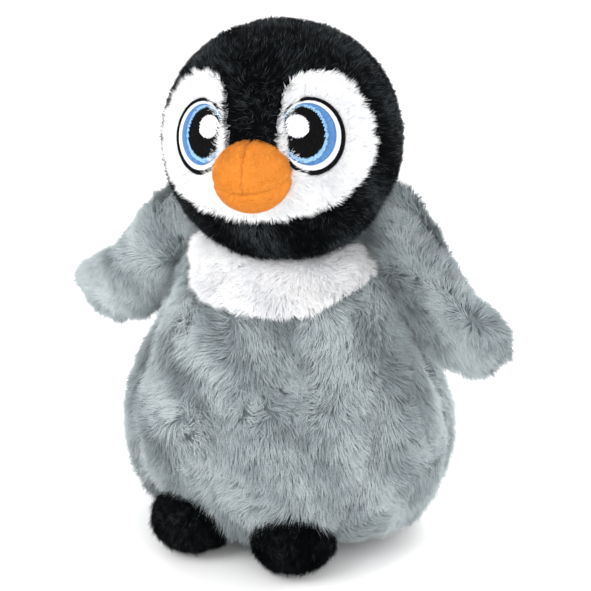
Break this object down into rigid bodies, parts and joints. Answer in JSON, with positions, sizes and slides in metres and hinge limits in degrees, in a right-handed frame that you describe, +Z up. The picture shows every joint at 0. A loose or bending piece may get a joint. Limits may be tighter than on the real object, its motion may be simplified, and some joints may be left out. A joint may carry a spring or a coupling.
{
  "type": "plush penguin",
  "caption": "Seated plush penguin chick with furry sewn panels, embroidered eyes, padded beak and feet, a turning head and two swinging wings.",
  "frame": {"origin": "centre of the bounding box at the flat base", "axes": "+Z up, the toy faces -Y, +X towards its left wing"},
  "size_m": [0.232, 0.1489, 0.2499],
  "materials": {
    "grey_plush": "long soft pile",
    "white_plush": "short soft pile",
    "black_plush": "short soft pile",
    "orange_fleece": "short brushed nap",
    "black_thread": "satin stitch",
    "white_thread": "satin stitch",
    "blue_thread": "satin stitch",
    "stuffing": "polyester fibre"
  },
  "bodies": {
    "body": {"belly_panel": "grey_plush", "bib_panel": "white_plush", "side_panel_left": "grey_plush", "side_panel_right": "grey_plush", "back_panel_left": "grey_plush", "back_panel_right": "grey_plush", "base_panel": "grey_plush", "body_stuffing": "stuffing", "foot_upper_left": "black_plush", "foot_upper_right": "black_plush", "foot_sole_left": "black_plush", "foot_sole_right": "black_plush", "foot_stuffing_left": "stuffing", "foot_stuffing_right": "stuffing"},
    "head": {"face_mask": "white_plush", "crown_gusset": "black_plush", "hood_panel_left": "black_plush", "hood_panel_right": "black_plush", "head_stuffing": "stuffing", "beak_upper_left": "orange_fleece", "beak_upper_right": "orange_fleece", "beak_lower": "orange_fleece", "beak_stuffing": "stuffing", "eye_outline_left": "black_thread", "eye_outline_right": "black_thread", "eye_white_left": "white_thread", "eye_white_right": "white_thread", "eye_iris_left": "blue_thread", "eye_iris_right": "blue_thread", "eye_pupil_left": "black_thread", "eye_pupil_right": "black_thread", "eye_highlight_left": "white_thread", "eye_highlight_right": "white_thread"},
    "wing_left": {"wing_front_panel_left": "grey_plush", "wing_back_panel_left": "grey_plush", "wing_stuffing_left": "stuffing"},
    "wing_right": {"wing_front_panel_right": "grey_plush", "wing_back_panel_right": "grey_plush", "wing_stuffing_right": "stuffing"}
  },
  "joints": [
    {"name": "head_turn", "type": "hinge", "parent": "body", "child": "head", "pos_m": [0, -0.0022, 0.193], "axis": [0, 0, 1], "range_deg": [-30, 30], "stiffness_Nm_per_rad": 0.15},
    {"name": "wing_left_swing", "type": "hinge", "parent": "body", "child": "wing_left", "pos_m": [0.05775, 0.005, 0.1255], "axis": [0.3363, 0, -0.9417], "range_deg": [-20, 40], "stiffness_Nm_per_rad": 0.03},
    {"name": "wing_right_swing", "type": "hinge", "parent": "body", "child": "wing_right", "pos_m": [-0.05775, 0.005, 0.1255], "axis": [0.3363, 0, 0.9417], "range_deg": [-20, 40], "stiffness_Nm_per_rad": 0.03}
  ]
}
